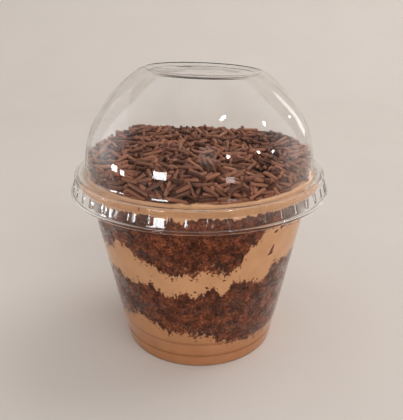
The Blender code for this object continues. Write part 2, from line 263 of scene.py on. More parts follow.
def loft(name, rings, surface, **place):
    faces = ring_faces([len(ring) for ring in rings])
    return add_mesh(name, np.concatenate(rings), faces, surface, **place)


def arc(centre, radius, start, end, steps):
    """Points on an arc from start to end, in degrees with 0 outwards and 90 up."""
    turns = np.radians(np.linspace(start, end, steps + 1))
    return [(centre[0] + radius * math.cos(t), centre[1] + radius * math.sin(t)) for t in turns]


def curve_through(points, steps):
    """A smooth curve through these points, with this many steps between each two."""
    points = np.array(points)
    ends = np.vstack((2 * points[0] - points[1], points, 2 * points[-1] - points[-2]))
    line = []
    for a, b, c, d in zip(ends, ends[1:], ends[2:], ends[3:]):
        for share in np.arange(steps) / steps:
            bend = share * (2 * a - 5 * b + 4 * c - d + share * (3 * b - a - 3 * c + d))
            line.append(b + share * (c - a + bend) / 2)
    return [tuple(point) for point in (*line, points[-1])]


def to_the_right(points):
    """At each point of a flat line, the unit vector to the right of the line's direction."""
    ahead = unit(np.gradient(points, axis=0))
    return np.stack((ahead[:, 1], -ahead[:, 0]), axis=1)


def offset(line, distance):
    """The line moved sideways, to the right of its direction."""
    points = np.array(line)
    moved = points + distance * to_the_right(points)
    moved[:, 0] = np.maximum(moved[:, 0], 0)
    return [tuple(point) for point in moved]


def grain(points, size, seed=0, octaves=1):
    """Smooth noise, from about -1 to 1, at each of these points, with lumps of this size."""
    places = points / size + seed * np.array((17.3, 5.1, 9.7))
    return np.array([noise.fractal(Vector(p), 1, 2, octaves) for p in places.reshape(-1, 3)])


# Materials


class Finish:
    """A material under construction: a Principled shader and the nodes that feed it."""

    def __init__(self, name, **sockets):
        self.made = bpy.data.materials.new(name)
        self.made.use_nodes = True
        self.tree = self.made.node_tree
        self.shader = self.tree.nodes["Principled BSDF"]
        for socket, value in sockets.items():
            self.put(self.shader, socket.replace("_", " "), value)
        self.place = self.node("ShaderNodeTexCoord", {}).node.outputs["Object"]

    def put(self, node, socket, value):
        if isinstance(value, bpy.types.NodeSocket):
            self.tree.links.new(value, node.inputs[socket])
        else:
            node.inputs[socket].default_value = value

    def node(self, kind, inputs, output=0, **settings):
        """Adds a node and returns its output."""
        made = self.tree.nodes.new(kind)
        for setting, value in settings.items():
            setattr(made, setting, value)
        for socket, value in inputs.items():
            self.put(made, socket, value)
        return made.outputs[output]

    def grain(self, size, detail=2.0, rough=0.5):
        """Noise from 0 to 1 with lumps of this size."""
        inputs = {"Vector": self.place, "Scale": 1 / size, "Detail": detail, "Roughness": rough}
        return self.node("ShaderNodeTexNoise", inputs)

    def cells(self, size, output="Distance"):
        inputs = {"Vector": self.place, "Scale": 1 / size}
        return self.node("ShaderNodeTexVoronoi", inputs, output)

    def attribute(self, name):
        return self.node("ShaderNodeAttribute", {}, "Fac", attribute_name=name)

    def maths(self, operation, first, second=0.0):
        return self.node("ShaderNodeMath", {0: first, 1: second}, operation=operation)

    def ramp(self, factor, *stops):
        """A colour ramp through (position, colour) stops."""
        output = self.node("ShaderNodeValToRGB", {0: factor})
        points = output.node.color_ramp.elements
        while len(points) < len(stops):
            points.new(1)
        for point, (position, colour) in zip(points, stops):
            point.position = position
            point.color = (*colour, 1)
        return output

    def mix(self, factor, first, second, blend="MIX"):
        sockets = {"Factor": factor, 6: first, 7: second}
        return self.node("ShaderNodeMix", sockets, "Result", data_type="RGBA", blend_type=blend)

    def multiply(self, factor, first, second):
        return self.mix(factor, first, second, "MULTIPLY")

    def bump(self, height, depth, strength=1.0, normal=None):
        inputs = {"Height": height, "Distance": depth, "Strength": strength}
        if normal:
            inputs["Normal"] = normal
        return self.node("ShaderNodeBump", inputs)

    def feed(self, **sockets):
        for socket, value in sockets.items():
            self.put(self.shader, socket.replace("_", " "), value)
        return self.made


def mirrored(tree):
    """1 for a ray that comes straight from a mirroring surface, and 0 for all others, also for one
    that has only passed through the plastic."""
    rays = tree.nodes.new("ShaderNodeLightPath")
    both = tree.nodes.new("ShaderNodeMath")
    both.operation = "MULTIPLY"
    both.use_clamp = True
    tree.links.new(rays.outputs["Is Glossy Ray"], both.inputs[0])
    tree.links.new(rays.outputs["Glossy Depth"], both.inputs[1])
    return both.outputs[0]


def clear_plastic(name, ior, speckle):
    """Smooth clear plastic, wavy as thin sheet is and a little speckled, that lets the lamps' light
    through to what is behind it."""
    finish = Finish(name, Transmission_Weight=1.0, Roughness=0.02, IOR=ior)
    finish.feed(Base_Color=(0.98, 0.98, 0.975, 1))
    wave = finish.bump(finish.grain(13 * MM, 1.0), 0.2 * MM)
    finish.feed(Normal=finish.bump(finish.grain(1.1 * MM, 1.0), speckle, 1.0, wave))
    rays = finish.node("ShaderNodeLightPath", {}, "Is Shadow Ray").node
    passing = finish.maths("MAXIMUM", rays.outputs["Is Shadow Ray"], rays.outputs["Is Diffuse Ray"])
    through = finish.node("ShaderNodeBsdfTransparent", {"Color": (0.97, 0.97, 0.97, 1)})
    sides = {0: passing, 1: finish.shader.outputs[0], 2: through}
    mixed = finish.node("ShaderNodeMixShader", sides)
    finish.put(finish.tree.nodes["Material Output"], "Surface", mixed)
    return finish.made


def cream_finish():
    """Mocha cream, smooth with fine pores, a deeper orange towards the cup's foot and paler at
    the rim. Towards the foot it is also darker, which is painted shade, and painted shade darkens
    its pores and thin rings at the foot's groove and step."""
    finish = Finish("mocha cream", Roughness=0.5, Specular_IOR_Level=0.1)
    height = finish.node("ShaderNodeSeparateXYZ", {"Vector": finish.place}, "Z")
    up = finish.maths("MULTIPLY", height, 1 / CREAM_SPAN)
    # Painted shade: the tone grows darker towards the cup's foot, as well as a deeper orange there.
    low, high, pale = (0.525, 0.23, 0.1), (0.7, 0.365, 0.182), (0.83, 0.46, 0.246)
    tone = finish.ramp(up, (0.1, low), (0.4, high), (0.78, high), (0.85, pale))
    cloud = finish.ramp(finish.grain(6 * MM, 3.0), (0.3, (0.88, 0.85, 0.82)), (0.7, (1, 1, 1)))
    colour = finish.multiply(1.0, tone, cloud)
    # Painted shade: thin darker rings at the foot's groove and the stacking step, standing for the
    # shade and dark reflection at the plastic's ridges.
    shade, lit = (0.66, 0.58, 0.5), (1, 1, 1)
    for line in (GROOVE_Z, STACK_STEP_Z - STEP_RISE):
        place, half = line / CREAM_SPAN, CREAM_SHADE_LINE / CREAM_SPAN
        ring = finish.ramp(up, (place - 2 * half, lit), (place, shade), (place + 2 * half, lit))
        colour = finish.multiply(1.0, colour, ring)
    # Painted shade: the pores are darkened as the shade inside them.
    pores = finish.ramp(finish.cells(1.9 * MM), (0.06, (0.55, 0.5, 0.45)), (0.12, (1, 1, 1)))
    colour = finish.multiply(0.3, colour, pores)
    ripple = finish.grain(1.5 * MM, 4.0)
    return finish.feed(Base_Color=colour, Normal=finish.bump(ripple, 0.15 * MM))


def cake_finish():
    """Moist crumb: lumps of differing brown with painted shade darkening the gaps between them, and
    fine grain.
    """
    finish = Finish("chocolate cake", Roughness=0.8, Specular_IOR_Level=0.02)
    warp = finish.node("ShaderNodeTexNoise", {"Vector": finish.place, "Scale": 1 / (1.5 * MM)}, "Color")
    shifted = finish.node(
        "ShaderNodeVectorMath", {0: warp, 1: (0.9 * MM,) * 3, 2: finish.place}, operation="MULTIPLY_ADD"
    )
    lump = {"Vector": shifted, "Scale": 1 / (2.1 * MM)}
    gaps = finish.node("ShaderNodeTexVoronoi", lump, "Distance", feature="DISTANCE_TO_EDGE")
    kind = finish.node("ShaderNodeTexVoronoi", lump, "Color")
    grains = finish.grain(0.85 * MM, 3.0, 0.55)
    light = finish.maths("ADD", finish.maths("MULTIPLY", kind, 0.22), grains)
    dark, middle, red = (0.075, 0.02, 0.009), (0.19, 0.05, 0.02), (0.31, 0.09, 0.04)
    tone = finish.ramp(light, (0.4, dark), (0.57, middle), (0.74, red))
    patch = finish.ramp(finish.grain(4 * MM, 3.0), (0.38, (0.5,) * 3), (0.62, (1.3,) * 3))
    tone = finish.multiply(1.0, tone, patch)
    specks = finish.ramp(finish.cells(1.3 * MM), (0.16, (0.2, 0.18, 0.18)), (0.3, (1, 1, 1)))
    tone = finish.multiply(0.8, tone, specks)
    # Painted shade: the gaps between the lumps are darkened.
    shade = finish.ramp(gaps, (0.0, (0.12, 0.10, 0.10)), (0.16, (1, 1, 1)))
    colour = finish.multiply(0.5, tone, shade)
    colour = finish.mix(finish.attribute("smear"), colour, (0.5, 0.25, 0.13, 1))
    lumps = finish.bump(gaps, 0.9 * MM)
    fine = finish.bump(grains, 0.35 * MM, 1.0, lumps)
    return finish.feed(Base_Color=colour, Normal=fine)


def sprinkle_finish():
    finish = Finish("milk chocolate", Roughness=0.42, Specular_IOR_Level=0.2)
    tone = finish.attribute("tone")
    colour = finish.ramp(tone, (0, (0.09, 0.031, 0.017)), (1, (0.43, 0.18, 0.105)))
    skin = finish.grain(0.6 * MM, 3.0)
    return finish.feed(Base_Color=colour, Normal=finish.bump(skin, 0.07 * MM))


def painted_shade_core_finish():
    # Painted shade: far darker than the sprinkles, standing for the shaded sprinkles deeper in the
    # heap.
    finish = Finish("heap core painted shade", Roughness=0.6)
    lumps = finish.grain(1.4 * MM, 3.0)
    colour = finish.ramp(lumps, (0.35, (0.012, 0.005, 0.003)), (0.7, (0.07, 0.028, 0.017)))
    return finish.feed(Base_Color=colour, Normal=finish.bump(lumps, 0.8 * MM))


def backdrop_finish():
    finish = Finish("pale backdrop", Roughness=0.85)
    cloud = finish.grain(60 * MM, 4.0)
    colour = finish.ramp(cloud, (0.3, (0.70, 0.635, 0.58)), (0.7, (0.72, 0.653, 0.597)))
    # Painted shade seen only in reflections: where the plastic mirrors the floor in front of the cup,
    # the floor is darkened, standing for a dark room in front.
    ahead = finish.node("ShaderNodeSeparateXYZ", {"Vector": finish.place}, "Y")
    front = finish.ramp(finish.maths("MULTIPLY", ahead, -5.0), (0.05, (1, 1, 1)), (0.6, (0.12,) * 3))
    return finish.feed(Base_Color=finish.multiply(mirrored(finish.tree), colour, front))


# Cup and lid


def wall_outside(z):
    return FOOT_RADIUS + WALL_SLOPE * z


def stepped_wall(z):
    """The outer wall's radius: drawn in below the stacking step, with a fine groove near the foot."""
    groove = GROOVE_DEPTH * np.exp(-(((z - GROOVE_Z) / GROOVE_WIDTH) ** 2))
    return wall_outside(z) - STACK_STEP_IN * below_step(z) - groove


def below_step(z):
    return smooth((STACK_STEP_Z - z) / STEP_RISE)


def wall_inside(z):
    thick = WALL + (FOOT_WALL - WALL) * below_step(z)
    return stepped_wall(z) - thick + np.clip(z - RIM_Z + RIM_ROLL, 0, COLLAR)


def cup_profile():
    """From the middle of the underside, up the outside, over the rim and down the inside."""
    ring = FOOT_RADIUS - HEEL
    profile = [(0, PUNT), (ring - FOOT_RING - PUNT, PUNT), (ring - FOOT_RING, 0)]
    profile += arc((stepped_wall(HEEL) - HEEL, HEEL), HEEL, -90, 0, 6)
    heights = [GROOVE_Z / 2]
    heights += list(np.linspace(GROOVE_Z - 3 * GROOVE_WIDTH, GROOVE_Z + 3 * GROOVE_WIDTH, 13))
    heights += list(np.linspace(STACK_STEP_Z - STEP_RISE, STACK_STEP_Z, 7))
    heights.append(STACK_STEP_Z + 3 * STEP_RISE)
    bead = RIM_Z - RIM_ROLL
    heights += list(np.linspace(heights[-1], bead - STEP_RISE, 6))[1:]
    profile += [(stepped_wall(z), z) for z in heights]
    profile += arc((RIM_CENTRE_R, RIM_Z), RIM_ROLL, -110, 165, 20)
    profile += [(wall_inside(z), z) for z in (bead, *heights[:0:-1], FLOOR + HEEL)]
    middle = (wall_inside(FLOOR + HEEL) - HEEL, FLOOR + HEEL)
    return profile + arc(middle, HEEL, 0, -90, 5) + [(0, FLOOR)]


def dome_radius(z):
    up = (z - DOME_START_Z) / (LID_TOP_Z - DOME_START_Z)
    return DOME_RADIUS - (DOME_RADIUS - LID_TOP_RADIUS) * np.maximum(up, 0) ** DOME_POWER


def lid_outside():
    """From the middle of the top, out over its raised edge, down the dome, over the cup's rim and
    down to the skirt's lip."""
    top, crest = LID_TOP_Z - LID_EDGE, LID_TOP_Z - LID_EDGE / 20
    edge = LID_TOP_RADIUS - LID_EDGE
    line = [(0, top), (edge / 2, top)]
    step = [(edge - 3 * LID_EDGE, top), (edge - 2 * LID_EDGE, top + LID_EDGE / 10)]
    step += [(edge - 0.9 * LID_EDGE, crest), (edge, crest), (dome_radius(top), top)]
    line += curve_through(step, 4)
    drop = top - DOME_FOOT_Z
    levels = [top - drop * (i / DOME_POINTS) ** DOME_SPREAD for i in range(1, DOME_POINTS)]
    line += [(dome_radius(z), z) for z in levels]
    shelf = RIM_Z + RIM_ROLL + LID_GAP + LID_WALL
    side = RIM_CENTRE_R + RIM_ROLL + LID_GAP + LID_WALL
    foot = dome_radius(DOME_FOOT_Z)
    low = [(foot, DOME_FOOT_Z), (foot + 0.3 * MM, shelf + 0.5 * MM), (foot + 1.1 * MM, shelf)]
    low += [(side - 1.2 * MM, shelf), (side - 0.25 * MM, shelf - 0.5 * MM), (side, shelf - 1.4 * MM)]
    low += [(BEAD_RADIUS, BEAD_Z), ((BEAD_RADIUS + LEDGE_RADIUS) / 2, (BEAD_Z + LEDGE_Z) / 2)]
    low += [(LEDGE_RADIUS, LEDGE_Z), (SKIRT_RADIUS - 1.3 * LIP_ROLL, SKIRT_Z + 2.4 * LIP_ROLL)]
    line += curve_through(low, 5)
    return [(radius, min(z, LID_TOP_Z)) for radius, z in line]


def lug_share(heights):
    """How much of a lug's depth there is at each height."""
    return smooth(np.minimum(heights - LUG_FOOT, LUG_HEAD - heights) / LUG_ROUNDING)


def lid_columns():
    """The angles of the lid's columns, close together at each lug, and how much of it is there."""
    half = math.degrees(LUG_WIDTH / LEDGE_RADIUS) / 2
    period = 360 / LUGS
    across, depth = np.array(LUG_SHAPE).T
    rest = np.linspace(half, period - half, LUG_COLUMNS - len(across) + 2)[1:-1]
    one = np.concatenate((across * half, rest))
    angles = (np.arange(LUGS)[:, None] * period + period / 2 + one).ravel()
    return angles, np.tile(np.concatenate((depth, 0 * rest)), LUGS)


def build_cup(surface):
    angles = np.arange(CUP_COLUMNS) * 360 / CUP_COLUMNS
    rings = [around(angles[:1] if radius == 0 else angles, radius, z) for radius, z in cup_profile()]
    loft("clear_cup", rings, surface, slot="cup", replaces=["cup"])


def leaned(points):
    """The lid's points with the dome leaning a little to the right, as the thin lid does."""
    share = np.maximum(points[..., 2] - DOME_FOOT_Z, 0) / (LID_TOP_Z - DOME_FOOT_Z)
    moved = points.copy()
    moved[..., 0] += TOP_SHIFT * share**2
    moved[..., 2] -= TOP_TILT * points[..., 0] * share**2
    return moved


def build_lid(surface):
    outside = lid_outside()
    inside = offset(outside, LID_WALL)
    middle = (SKIRT_RADIUS - LIP_ROLL, SKIRT_Z + LIP_ROLL)
    lip = arc(middle, LIP_ROLL, -210, 85, 14)
    angles, lugs = lid_columns()
    rings = []
    for radius, z in (*inside, *lip, *outside[::-1]):
        if radius == 0:
            rings.append(leaned(around(angles[:1], 0, z)))
        else:
            rings.append(leaned(around(angles, radius + LUG_DEPTH * lugs * lug_share(z), z)))
    loft("clear_dome_lid", rings, surface, slot="lid", replaces=["lid"])


# Layers of cake and cream


COLUMN_ANGLES = np.arange(LAYER_COLUMNS) * 360 / LAYER_COLUMNS


def level(keys):
    """The height at each column, on a smooth closed line through the keys."""
    first = keys[0][0]
    ends = np.array((*keys, (first + 360, keys[0][1])), float)
    turns = first + (COLUMN_ANGLES - first) % 360
    after = np.clip(np.searchsorted(ends[:, 0], turns, "right"), 1, len(keys))
    low, high = ends[after - 1], ends[after]
    share = (1 - np.cos(np.pi * (turns - low[:, 0]) / (high[:, 0] - low[:, 0]))) / 2
    return MM * (low[:, 1] + (high[:, 1] - low[:, 1]) * share)


class Boundary:
    """A surface through the cup between two layers, with a ragged line at the wall."""

    def __init__(self, keys, centre, seed=None):
        self.even = level(keys)
        self.centre = centre
        self.rim = self.even.copy()
        if seed is not None:
            line = around(COLUMN_ANGLES, wall_inside(self.even), self.even)
            for turn, (size, height) in enumerate(RAGGED):
                self.rim += height * grain(line, size, seed + turn)

    def moved(self, up):
        made = object.__new__(Boundary)
        made.even, made.rim, made.centre = self.even + up, self.rim + up, self.centre + up
        return made

    def inner_rings(self):
        """From the middle out to just short of the wall."""
        mean = self.even.mean()
        half = self.centre + HALF_RISE * (self.even - mean)
        rings = [np.array([(0, 0, self.centre)])]
        rings.append(around(COLUMN_ANGLES, wall_inside(half) / 2, half))
        near = (self.even * 3 + half) / 4
        rings.append(around(COLUMN_ANGLES, wall_inside(near) - 3 * MM, near))
        return rings


def side_rings(low, high, rows):
    """Rings up the wall between two lines of heights, a little way into the plastic."""
    rings = []
    for share in np.linspace(0, 1, rows + 1):
        heights = low + (high - low) * share
        rings.append(around(COLUMN_ANGLES, wall_inside(heights) + INTO_WALL, heights))
    return rings


def pitted(rings, seed):
    """Pits the rings of a cake's side, and leaves flat patches where it is pressed on the wall."""
    points = np.concatenate(rings)
    share = -PRESSED_FLAT
    for turn, (size, strength) in enumerate(PIT_LUMPS):
        share = share + strength * grain(points, size, seed + turn)
    rows = np.repeat(np.linspace(0, 1, len(rings)), LAYER_COLUMNS)
    inland = np.clip(np.minimum(rows, 1 - rows) / EDGE_ROWS, 0, 1)
    depth = PIT_DEPTH * np.clip(share, 0, 1) * (EDGE_PITS + (1 - EDGE_PITS) * inland)
    radii = np.linalg.norm(points[:, :2], axis=1)
    points[:, :2] *= (1 - depth / radii)[:, None]
    return np.split(points, len(rings))


def smears(points, low):
    """Where cream is smeared over the cake: specks close above its foot at the front."""
    angles = np.degrees(np.arctan2(points[:, 0], -points[:, 1]))
    heights = points[:, 2] - np.tile(low, len(points) // LAYER_COLUMNS)
    low_down = np.clip(1.1 - heights / SMEAR_HEIGHT, 0, 1)
    ahead = np.clip(1.6 - np.abs(angles - SMEAR_ANGLE) / SMEAR_WIDTH, 0.35, 1)
    specks = sum(strength * grain(points, size, seed) for size, strength, seed in SMEAR_SPECKS)
    return np.clip((specks + 0.85 * low_down * ahead - 1.05) * 6, 0, 1)


def build_cake(name, node, low, high, seed, surface):
    side = pitted(side_rings(low.rim, high.rim, CAKE_ROWS), seed)
    inner_low, inner_high = low.inner_rings(), high.inner_rings()
    made = loft(name, [*inner_low, *side, *inner_high[::-1]], surface, slot="cake", replaces=[node])
    side = np.concatenate(side)
    values = np.zeros(len(made.data.vertices))
    start = sum(len(ring) for ring in inner_low)
    values[start : start + len(side)] = smears(side, low.rim)
    made.data.attributes.new("smear", "FLOAT", "POINT").data.foreach_set("value", values)


def build_layers(cream, cake):
    floor = Boundary(((0, FLOOR / MM),), FLOOR)
    cream_bottom_top = Boundary(CREAM_BOTTOM_TOP, 15 * MM, 1)
    cake_lower_top = Boundary(CAKE_LOWER_TOP, 39 * MM, 4)
    cream_middle_top = Boundary(CREAM_MIDDLE_TOP, 50 * MM, 7)
    cake_upper_top = Boundary(CAKE_UPPER_TOP, 68 * MM, 10)
    surface = Boundary(CREAM_TOP, CREAM_TOP_Z)
    lap = CREAM_OVERLAP

    low, high = floor, cream_bottom_top.moved(lap)
    side = side_rings(low.rim + HEEL, high.rim, CREAM_ROWS)
    foot = around(COLUMN_ANGLES, wall_inside(FLOOR + HEEL) - HEEL, FLOOR - INTO_WALL)
    bottom = [np.array([(0, 0, FLOOR - INTO_WALL)]), foot]
    rings = [*bottom, *side, *high.inner_rings()[::-1]]
    loft("mocha_cream_bottom", rings, cream, slot="cream", replaces=["cream_bottom"])

    build_cake("chocolate_cake_lower", "cake_lower", cream_bottom_top, cake_lower_top, 20, cake)

    low, high = cake_lower_top.moved(-lap), cream_middle_top.moved(lap)
    rings = [*low.inner_rings(), *side_rings(low.rim, high.rim, CREAM_ROWS), *high.inner_rings()[::-1]]
    loft("mocha_cream_middle", rings, cream, slot="cream", replaces=["cream_middle"])

    build_cake("chocolate_cake_upper", "cake_upper", cream_middle_top, cake_upper_top, 40, cake)

    low = cake_upper_top.moved(-lap)
    rings = [*low.inner_rings(), *side_rings(low.rim, surface.rim, CREAM_ROWS)]
    rings += surface.inner_rings()[::-1]
    loft("mocha_cream_top", rings, cream, slot="cream", replaces=["cream_top"])

    edges = ((cream_bottom_top.rim, -1), (cake_lower_top.rim, 1), (cream_middle_top.rim, -1))
    build_crumbs(edges, cake)


def crumb_places(draw, edges):
    """The angle, height and radius of each crumb. Each edge is a line of heights and the direction
    that the cream is in."""
    places = []
    for heights, way in edges:
        columns = draw.integers(0, LAYER_COLUMNS, CRUMBS)
        away = draw.exponential(CRUMB_SPREAD, CRUMBS) * way
        sizes = CRUMB_RADII[0] + (CRUMB_RADII[1] - CRUMB_RADII[0]) * draw.random(CRUMBS) ** 2
        places.append(np.stack((COLUMN_ANGLES[columns], heights[columns] + away, sizes), axis=1))
    places.append(np.array(STRAY_CRUMBS) * (1, MM, MM))
    return np.concatenate(places).T


def build_crumbs(edges, surface):
    """Angular crumbs of cake that lie in the cream at the wall, near the cake's edges."""
    draw = np.random.default_rng(SEED)
    shape = bmesh.new()
    bmesh.ops.create_icosphere(shape, subdivisions=1, radius=1)
    ball = np.array([point.co for point in shape.verts])
    one = [[point.index for point in face.verts] for face in shape.faces]
    shape.free()
    angles, heights, sizes = crumb_places(draw, edges)
    centres = around(angles, wall_inside(heights) + INTO_WALL - sizes * CRUMB_SUNK, heights)
    rough = draw.uniform(*CRUMB_ROUGHNESS, (len(sizes), len(ball)))
    stretch = draw.uniform(*CRUMB_STRETCH, (len(sizes), 1, 3))
    points = centres[:, None] + ball * stretch * (sizes[:, None] * rough)[..., None]
    radii = np.linalg.norm(points[..., :2], axis=2)
    most = wall_inside(points[..., 2]) + INTO_WALL + CRUMB_PROUD
    points[..., :2] *= np.minimum(most / radii, 1)[..., None]
    faces = copied_faces(one, len(ball), len(sizes))
    add_mesh("cake_crumbs", points.reshape(-1, 3), faces, surface, slot="cake")


# Heap of sprinkles


def heap_outline():
    """The heap's outline as (radius, z) points from its foot to its crown."""
    turns = np.radians(np.linspace(0, 90, 160))
    radii = HEAP_RADIUS * np.maximum(np.cos(turns), 0) ** (2 / HEAP_POWER)
    heights = HEAP_WIDEST_Z + (HEAP_CROWN_Z - HEAP_WIDEST_Z) * np.sin(turns) ** (2 / HEAP_POWER)
    foot = np.linspace((HEAP_FOOT_RADIUS, HEAP_FOOT_Z), (HEAP_RADIUS, HEAP_WIDEST_Z), 8)[:-1]
    radii[-1] = 0
    return np.vstack((foot, np.stack((radii, heights), axis=1)))


OUTLINE = heap_outline()


OUTLINE_NORMALS = to_the_right(OUTLINE)


def depth_below_outline(points):
    """How deep each point is below the heap's outline, and the way out there."""
    radii = np.linalg.norm(points[:, :2], axis=1)
    flat = np.stack((radii, points[:, 2]), axis=1)
    away = ((flat[:, None] - OUTLINE[None]) ** 2).sum(axis=2)
    nearest = away.argmin(axis=1)
    normal = OUTLINE_NORMALS[nearest]
    depth = -((flat - OUTLINE[nearest]) * normal).sum(axis=1)
    out = points[:, :2] / np.maximum(radii, 1e-9)[:, None]
    return depth, np.column_stack((out * normal[:, :1], normal[:, 1]))


def heap_rise(points):
    """How far the heap's top rises above its even outline at each point: a saddle and lumps."""
    rise = sum(height * grain(points, size, 3) for size, height in HEAP_LUMPS)
    rise += HEAP_SADDLE * (points[:, 0] ** 2 - points[:, 1] ** 2) / HEAP_RADIUS**2
    for x, y, size, height in HEAP_HUMPS:
        away = ((points[:, 0] - x) ** 2 + (points[:, 1] - y) ** 2) / size**2
        rise += height * np.exp(-away)
    share = (points[:, 2] - HEAP_WIDEST_Z + SHELL / 2) / (HEAP_CROWN_Z - HEAP_WIDEST_Z)
    return rise * np.clip(share, 0, 1)


def scattered_sprinkles(draw):
    """The ends of the sprinkles as they first lie, spread evenly over the heap's outline."""
    count = SPRINKLES
    steps = np.linalg.norm(np.diff(OUTLINE, axis=0), axis=1)
    areas = np.concatenate(([0], np.cumsum(steps * (OUTLINE[1:, 0] + OUTLINE[:-1, 0]))))
    shares = (np.arange(count) + draw.random(count)) / count * areas[-1]
    radii = np.interp(shares, areas, OUTLINE[:, 0])
    heights = np.interp(shares, areas, OUTLINE[:, 1])
    angles = np.arange(count) * GOLDEN_ANGLE
    middles = around(angles, radii, heights)
    out = depth_below_outline(middles)[1]
    middles -= out * draw.uniform(SPRINKLE_RADIUS, SHELL, count)[:, None]
    side = around(angles + 90, 1.0, 0.0)
    ahead = np.cross(out, side)
    steep = 1 - out[:, 2]
    heading = draw.uniform(-90, 90, count) * (1 - SPRINKLE_LEVEL * steep)
    along = np.cos(np.radians(heading))[:, None] * side + np.sin(np.radians(heading))[:, None] * ahead
    along += out * draw.normal(0, SPRINKLE_LEAN, count)[:, None]
    return middles, unit(along), draw.uniform(*SPRINKLE_LENGTHS, count)


def rod_ends(middles, along, half):
    """The two ends of each rod, as a row of two points."""
    reach = along * half[:, None]
    return np.stack((middles - reach, middles + reach), axis=1)


def nearest_gaps(first, second, middles, along, half):
    """For each pair of rods, the gap between their nearest points as a vector, and the places of
    those points along the rods."""
    between = middles[first] - middles[second]
    cosine = (along[first] * along[second]).sum(axis=1)
    here = (along[first] * between).sum(axis=1)
    there = (along[second] * between).sum(axis=1)
    place = (cosine * there - here) / np.maximum(1 - cosine**2, 0.02)
    place = np.clip(place, -half[first], half[first])
    other = np.clip(cosine * place + there, -half[second], half[second])
    place = np.clip(cosine * other - here, -half[first], half[first])
    gap = between + along[first] * place[:, None] - along[second] * other[:, None]
    return gap, place, other


def kept_in_heap(ends, upper, deepest):
    """The ends moved into the heap's shell, above the cream and inside the dome."""
    depth, out = depth_below_outline(ends.reshape(-1, 3))
    wanted = np.clip(depth, upper.ravel(), deepest)
    ends = ends - (out * (wanted - depth)[:, None]).reshape(ends.shape)
    ends[..., 2] = np.maximum(ends[..., 2], CREAM_TOP_Z + SPRINKLE_RADIUS)
    most = dome_radius(ends[..., 2]) - LID_WALL - SPRINKLE_RADIUS
    ends[..., :2] *= np.minimum(most / np.linalg.norm(ends[..., :2], axis=2), 1)[..., None]
    return ends


def packed_sprinkles(draw):
    """Pushes the sprinkles apart until hardly any overlap, and keeps them in the heap's shell."""
    middles, along, lengths = scattered_sprinkles(draw)
    half = lengths / 2 - SPRINKLE_RADIUS
    ends = rod_ends(middles, along, half)
    rise = heap_rise(middles)[:, None]
    top = middles[:, 2] > RISER_Z
    upper = SPRINKLE_RADIUS - rise + draw.uniform(-0.5, 2.2, (SPRINKLES, 2)) * MM
    deepest = (SHELL - SPRINKLE_RADIUS - rise + 0 * upper).ravel()
    risers = (draw.random(SPRINKLES) < RISER_SHARE) & top
    upper[:, 0] -= risers * draw.uniform(0.8, 2.6, SPRINKLES) * MM
    for step in range(PACKING_STEPS):
        middles = ends.mean(axis=1)
        if step % 10 == 0:
            away = np.linalg.norm(middles[:, None] - middles[None], axis=2)
            reach = half[:, None] + half[None] + 3 * SPRINKLE_RADIUS
            first, second = np.nonzero(np.triu(away < reach, 1))
        along = (ends[:, 1] - ends[:, 0]) / (2 * half[:, None])
        apart, place, other = nearest_gaps(first, second, middles, along, half)
        distance = np.maximum(np.linalg.norm(apart, axis=1), 1e-6)
        push = np.maximum(2 * SPRINKLE_RADIUS - distance, 0) * 0.5
        push = apart * (push / distance)[:, None]
        moves = np.zeros_like(ends)
        for index, spot, sign in ((first, place, 1), (second, other, -1)):
            share = (spot / half[index] + 1) / 2
            weight = sign / (share**2 + (1 - share) ** 2)
            np.add.at(moves[:, 0], index, push * (weight * (1 - share))[:, None])
            np.add.at(moves[:, 1], index, push * (weight * share)[:, None])
        ends += 0.6 * moves
        ends = kept_in_heap(ends, upper, deepest)
        ends = rod_ends(ends.mean(axis=1), unit(ends[:, 1] - ends[:, 0]), half)
    return ends


def build_sprinkles(surface):
    """Every sprinkle as a rod with rounded ends and a slight bend, joined in one mesh."""
    draw = np.random.default_rng(SEED)
    ends = packed_sprinkles(draw)
    count = len(ends)
    middle = ends.mean(axis=1)
    along = ends[:, 1] - ends[:, 0]
    axis_length = np.linalg.norm(along, axis=1)
    along /= axis_length[:, None]
    half = axis_length / 2 + SPRINKLE_RADIUS
    across = unit(np.cross(along, draw.normal(size=(count, 3))))
    third = np.cross(along, across)
    thick = SPRINKLE_RADIUS * draw.uniform(0.9, 1.04, count)
    bend = draw.uniform(0, SPRINKLE_BEND, count)
    cap_in, cap_out = np.array(SPRINKLE_CAP).T
    places = [-half + SPRINKLE_RADIUS * way for way in cap_in]
    places += [0 * half] + [half - SPRINKLE_RADIUS * way for way in cap_in[::-1]]
    radii = [*cap_out, 1.0, *cap_out[::-1]]
    turns = np.radians(np.arange(SPRINKLE_SIDES) * 360 / SPRINKLE_SIDES)
    rings = []
    for place, radius in zip(places, radii):
        centre = middle + along * place[:, None]
        centre += across * (bend * (1 - (place / half) ** 2))[:, None]
        if radius == 0:
            rings.append(centre[:, None])
            continue
        rough = thick[:, None] * radius * draw.uniform(0.93, 1.05, (count, SPRINKLE_SIDES))
        spokes = across[:, None] * np.cos(turns)[:, None] + third[:, None] * np.sin(turns)[:, None]
        rings.append(centre[:, None] + spokes * rough[..., None])
    points = np.concatenate(rings, axis=1)
    size = points.shape[1]
    faces = copied_faces(ring_faces([ring.shape[1] for ring in rings]), size, count)
    made = add_mesh("chocolate_sprinkles", points.reshape(-1, 3), faces, surface, slot="sprinkles")
    tone = np.repeat(draw.random(count), size)
    made.data.attributes.new("tone", "FLOAT", "POINT").data.foreach_set("value", tone)
    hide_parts("sprinkles")


